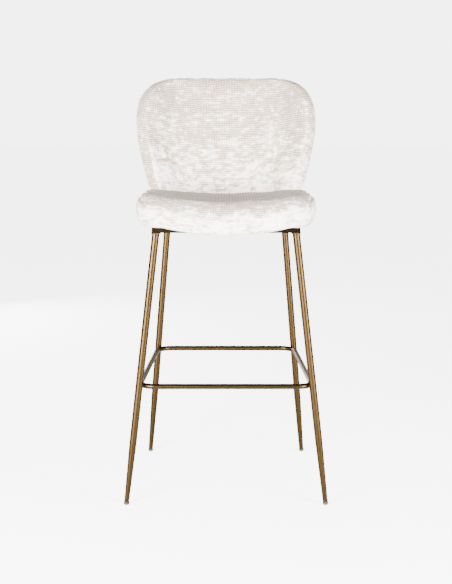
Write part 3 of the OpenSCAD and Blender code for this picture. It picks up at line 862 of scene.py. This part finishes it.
# %% The gussets, one on each side
seam_row = 4
gusset_corner = (0.217, seat_front + 0.032)
gusset_front = seat_ring[np.argmin(np.linalg.norm(seat_ring - gusset_corner, axis=1))]
gusset_rear_y = seat_back - 0.104
centres = (seat_ring + np.roll(seat_ring, -1, axis=0)) / 2
on_side = (abs(centres[:, 0]) > gusset_front[0] - 0.001) & (centres[:, 1] < gusset_rear_y)
cloth_of_face = np.zeros(len(seat_faces), np.int32)
band_faces = cloth_of_face[panel_count:panel_count + band_count].reshape(-1, len(seat_ring))
band_faces[seam_row:, on_side] = 1
seat.data.polygons.foreach_set("material_index", cloth_of_face)
seat_shape = coordinates(seat.data)
grid = seat_shape[len(top):len(top) + len(seat_loops) * len(seat_ring)]
grid = np.concatenate([seat_shape[rim_indices(seat_side_count)][None],
                       grid.reshape(-1, len(seat_ring), 3)])


def smooth_path(points, spacing=0.0025, rounds=6):
    """A path with even steps, its corners rounded by averaging neighbours a few times."""
    for _ in range(2):
        run = np.concatenate([[0], np.cumsum(np.linalg.norm(np.diff(points, axis=0), axis=1))])
        at = np.linspace(0, run[-1], max(8, int(run[-1] / spacing)))
        points = np.stack([np.interp(at, run, points[:, axis]) for axis in range(3)], 1)
        for _ in range(rounds):
            points[1:-1] = (points[:-2] + 2 * points[1:-1] + points[2:]) / 4
    return points


def gusset_seam(side):
    """Up the front corner, back along the top edge and down again behind."""
    here = np.flatnonzero(on_side & (np.sign(centres[:, 0]) == side))
    here = here[np.argsort(centres[here, 1])]
    ahead = 0 if side > 0 else 1
    ring_count = len(seat_ring)
    up_front = grid[seam_row:-1, (here[0] + ahead) % ring_count][::-1]
    along_top = grid[seam_row, (here + ahead) % ring_count]
    down_rear = grid[seam_row:-1, (here[-1] + 1 - ahead) % ring_count]
    return smooth_path(np.concatenate([up_front, along_top[1:], down_rear]))


seat_seams = {"seat_left_seam": gusset_seam(-1), "seat_right_seam": gusset_seam(1)}
refine(seat)
unevenness(seat, size=0.0006, seed=5)
for line in seat_seams.values():
    draw_in(seat, line, depth=0.0042, width=0.0038, pucker=0.0008, pitch=0.013)
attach(seat, "root")
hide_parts("seat_cover", "seat_side_left", "seat_side_right", "seat_foam")
print("seat cushion", len(seat.data.vertices), "points, gusset starts",
      [round(float(value), 4) for value in gusset_front])

# %% [markdown]
# ## Stitches
# The seams are sewn with thick thread, and every stitch that shows is a short soft bar lying
# in the groove. Each is a six-sided bar with narrower ends, set down on the cloth.

# %% Lay stitches along a seam
def stitches(name, cloth_piece, path, pitch=0.0075, length=0.0045, radius=0.00055,
             look=thread_finish):
    """Bars along a path: four rings of six points each, with radii 0.4, 1, 1 and 0.4."""
    run = np.concatenate([[0], np.cumsum(np.linalg.norm(np.diff(path, axis=0), axis=1))])
    at = np.arange(pitch, run[-1] - pitch, pitch)

    def on_path(place):
        return np.stack([np.interp(place, run, path[:, axis]) for axis in range(3)], 1)

    middle = on_path(at)
    way = on_path(at + length / 2) - on_path(at - length / 2)
    way /= np.linalg.norm(way, axis=1, keepdims=True)
    found = [cloth_piece.closest_point_on_mesh(point) for point in middle.tolist()]
    out = np.array([hit[2] for hit in found])
    middle = np.array([hit[1] for hit in found]) + out * radius * 0.4
    across = np.cross(way, out)
    across /= np.linalg.norm(across, axis=1, keepdims=True)
    out = np.cross(across, way)
    turn = np.arange(6) * math.pi / 3
    steps = ((-0.5, 0.4), (-0.28, 1.0), (0.28, 1.0), (0.5, 0.4))
    rings = [middle[:, None] + way[:, None] * (length * place)
             + radius * size * (np.cos(turn)[None, :, None] * across[:, None]
                                + np.sin(turn)[None, :, None] * out[:, None])
             for place, size in steps]
    points = np.stack(rings, 1).reshape(-1, 3)
    base = np.arange(len(at))[:, None, None] * 24
    row = np.arange(3)[None, :, None] * 6
    column = np.arange(6)[None, None, :]
    after = (column + 1) % 6
    quads = np.stack([base + row + column, base + row + after,
                      base + row + 6 + after, base + row + 6 + column], -1).reshape(-1, 4)
    starts = (np.arange(len(at))[:, None] * 24 + np.arange(6)[None, ::-1])
    stops = (np.arange(len(at))[:, None] * 24 + 18 + np.arange(6)[None])
    mesh = bpy.data.meshes.new(name)
    mesh.from_pydata(points.tolist(), [], quads.tolist() + starts.tolist() + stops.tolist())
    mesh.polygons.foreach_set("use_smooth", np.ones(len(mesh.polygons), bool))
    mesh.materials.append(look)
    piece = bpy.data.objects.new(name, mesh)
    bpy.context.scene.collection.objects.link(piece)
    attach(piece, "root")
    print(name, len(at), "bars")
    return piece


bpy.context.view_layer.update()
for name, line in back_seams.items():
    stitches(name.replace("seam", "stitches"), back, line)
for name, line in seat_seams.items():
    stitches(name.replace("seam", "stitches"), seat, line)

# %% [markdown]
# ## The dust cover
# Under the seat a black non-woven cloth is stapled to the board. It is one sheet, cut to the
# outline of the seat's underside and drawn in a little, stretched, and sagging in its middle.

# %% Cut and stretch the dust cover
cover_side = seat_side_count // 2
cover_plan, cover_in = panel_plan(lip[::2, :2], seat_middle, cover_side, 0.003)
sag_depth, sag_start, sag_reach = 0.0035, 0.030, 0.12
cover_gap = 0.0009
sag = sag_depth * smooth_step((cover_in - sag_start) / sag_reach)
cover_points = np.column_stack([cover_plan, rail_high + cover_gap - sag])
cover_faces = cushion_faces(cover_side, 0)[0][:cover_side ** 2, ::-1]
dust = mesh_object("dust_cover", cover_points, cover_faces, dust_finish)
wall = dust.modifiers.new("thickness", "SOLIDIFY")
wall.thickness = 0.0005
wall.offset = 0
edge = cover_plan[rim_indices(cover_side)]
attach(dust, "root")
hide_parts("seat_dust_cover")

# %% [markdown]
# ### Staples
# Upholsterers fire a staple every few centimetres round the cloth's edge. A staple's crown is
# a short bar on the cloth, so the stitch maker serves again, with longer, thicker zinc bars.

# %% Staples that hold the dust cover
bpy.context.view_layer.update()
staple_inset = 0.007
staple_reach = np.linalg.norm(edge - seat_middle, axis=1)
staple_line = seat_middle + (edge - seat_middle) * (1 - staple_inset / staple_reach)[:, None]
staple_line = np.column_stack([staple_line, np.full(len(edge), rail_high)])
stitches("dust_cover_staples", dust, np.concatenate([staple_line, staple_line[:1]]), pitch=0.038,
         length=0.010, radius=0.0006, look=zinc)

# %% [markdown]
# ## Welds at the leg tops
# Each leg is welded under a corner of the seat frame. A weld is a ring of overlapping drops,
# so its section is a small circle carried round the leg that swells once for every drop.

# %% Weld beads
def weld_bead(name, centre, leg_radius, size=0.0021, drops=26, steps=156, sides=10):
    """A ring: radius leg + size * swell * cos(turn) and height size * swell * sin(turn), with
    swell = 1 + 0.14 * |sin(drops * angle / 2)|."""
    angle, turn = np.meshgrid(np.arange(steps) * 2 * math.pi / steps,
                              np.arange(sides) * 2 * math.pi / sides, indexing="ij")
    swell_here = 1 + 0.14 * abs(np.sin(drops * angle / 2))
    reach = leg_radius + 0.0004 + size * swell_here * np.cos(turn)
    points = np.stack([centre[0] + reach * np.cos(angle), centre[1] + reach * np.sin(angle),
                       centre[2] - 0.0012 + size * swell_here * np.sin(turn)], -1).reshape(-1, 3)
    i, j = np.meshgrid(np.arange(steps), np.arange(sides), indexing="ij")
    i2, j2 = (i + 1) % steps, (j + 1) % sides
    faces = np.stack([i * sides + j, i2 * sides + j, i2 * sides + j2, i * sides + j2], -1)
    piece = mesh_object(name, points, faces.reshape(-1, 4), bronze_level)
    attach(piece, "root")
    return piece


for end in ends:
    leg = coordinates(nodes["leg_" + end].data)
    leg_top = leg[leg[:, 2] > leg[:, 2].max() - 0.0004]
    low_corner, high_corner = leg_top.min(axis=0), leg_top.max(axis=0)
    bead = weld_bead("weld_" + end, (low_corner + high_corner) / 2,
                     float((high_corner - low_corner)[:2].mean()) / 2)
    leg_width = float((high_corner - low_corner)[0]) * 1000
    print(bead.name, "round a leg", round(leg_width, 1), "mm wide")

# %% [markdown]
# ## Floor
# The stool stands on a plain pale floor. It reaches far past the lens's view, so that its far
# edge doesn't show as a line behind the stool.

# %% Floor
ground = bpy.data.meshes.new("floor")
far = 30.0
ground.from_pydata([(-far, -far, 0), (far, -far, 0), (far, far, 0), (-far, far, 0)], [],
                   [(0, 1, 2, 3)])
ground.materials.append(floor_finish)
floor = bpy.data.objects.new("floor", ground)
bpy.context.scene.collection.objects.link(floor)
print("floor", 2 * far, "m wide")

# %% [markdown]
# ## Update the scene
# The soft pieces mustn't change the stool's size. The scene is brought up to date once more.

# %% Update the scene
bpy.context.view_layer.update()
